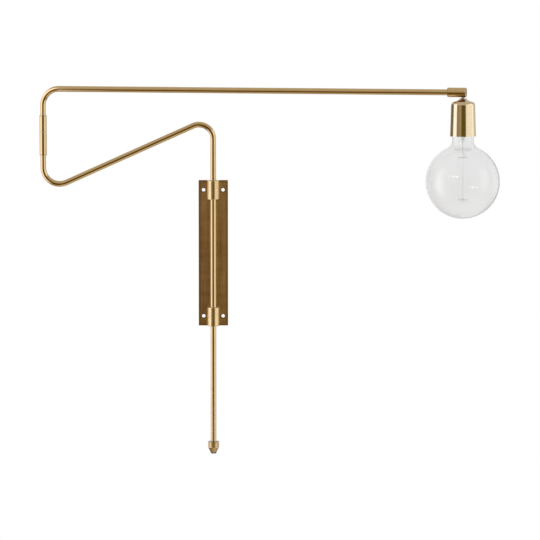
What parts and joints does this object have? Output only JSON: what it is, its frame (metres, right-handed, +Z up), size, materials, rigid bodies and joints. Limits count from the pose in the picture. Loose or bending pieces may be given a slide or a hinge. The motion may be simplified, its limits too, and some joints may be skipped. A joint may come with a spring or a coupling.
{
  "type": "swing arm wall lamp",
  "caption": "Brass swing arm wall lamp: a long tube arm on a bent tube bracket arm turns in sleeves on a tall wall plate and carries a cup lamp holder with a bare globe bulb.",
  "frame": {"origin": "middle of the wall plate's back face, where it lies on the wall", "axes": "+Z up, +X right along the wall as seen from the room, +Y into the wall"},
  "size_m": [0.7709, 0.2295, 0.6295],
  "materials": {
    "aged_brass": "aged, streaked",
    "brushed_brass": "brushed",
    "polished_brass": "polished",
    "bearing_plastic": "satin",
    "holder_plastic": "matte",
    "flex_sheath": "matte",
    "black_rubber": "matte",
    "steel": "bright",
    "cap_metal": "rolled",
    "solder": "dull",
    "black_glass": "glossy",
    "clear_glass": "clear"
  },
  "bodies": {
    "wall_bracket": {"back_plate": "aged_brass", "upper_sleeve": "brushed_brass", "lower_sleeve": "brushed_brass", "upper_bush": "bearing_plastic", "lower_bush": "bearing_plastic"},
    "inner_arm": {"inner_arm_tube": "brushed_brass", "thrust_ring": "brushed_brass", "gland_body": "brushed_brass", "gland_nut": "brushed_brass", "gland_grommet": "black_rubber", "elbow_sleeve": "brushed_brass", "elbow_washer": "bearing_plastic", "elbow_grub_screw": "steel", "inner_flex": "flex_sheath"},
    "outer_arm": {"outer_arm_tube": "brushed_brass", "elbow_collar": "brushed_brass", "elbow_spigot": "brushed_brass", "arm_end_journal": "brushed_brass", "friction_washer": "bearing_plastic", "outer_flex": "flex_sheath"},
    "lamp_head": {"swivel_barrel": "brushed_brass", "barrel_end_cap": "brushed_brass", "neck_nipple": "polished_brass", "cup_collar": "polished_brass", "holder_cup": "polished_brass", "holder_cap": "holder_plastic", "terminal_block": "holder_plastic", "terminal_screws": "steel", "centre_contact": "brushed_brass", "screw_shell": "brushed_brass", "holder_skirt": "holder_plastic", "live_lead": "flex_sheath", "neutral_lead": "flex_sheath"},
    "bulb": {"bulb_glass": "clear_glass", "bulb_cap": "cap_metal", "cap_insulator": "black_glass", "cap_contact": "solder", "stem_glass": "clear_glass", "upper_spider": "clear_glass", "lower_spider": "clear_glass", "filament": "steel", "lead_wires": "steel"}
  },
  "joints": [
    {"name": "mast_swing", "type": "hinge", "parent": "wall_bracket", "child": "inner_arm", "pos_m": [0, -0.0122, 0], "axis": [0, 0, 1], "range_deg": [0, 180]},
    {"name": "elbow_swing", "type": "hinge", "parent": "inner_arm", "child": "outer_arm", "pos_m": [-0.288, -0.0122, 0.2064], "axis": [0, 0, 1], "range_deg": [-170, 170]},
    {"name": "head_roll", "type": "hinge", "parent": "outer_arm", "child": "lamp_head", "pos_m": [0.41493, -0.16804, 0.2795], "axis": [0.9763, -0.2164, 0], "range_deg": [-90, 90]},
    {"name": "bulb_unscrew", "type": "slide", "parent": "lamp_head", "child": "bulb", "axis": [0, 0, -1], "range_m": [0, 0.045]}
  ]
}
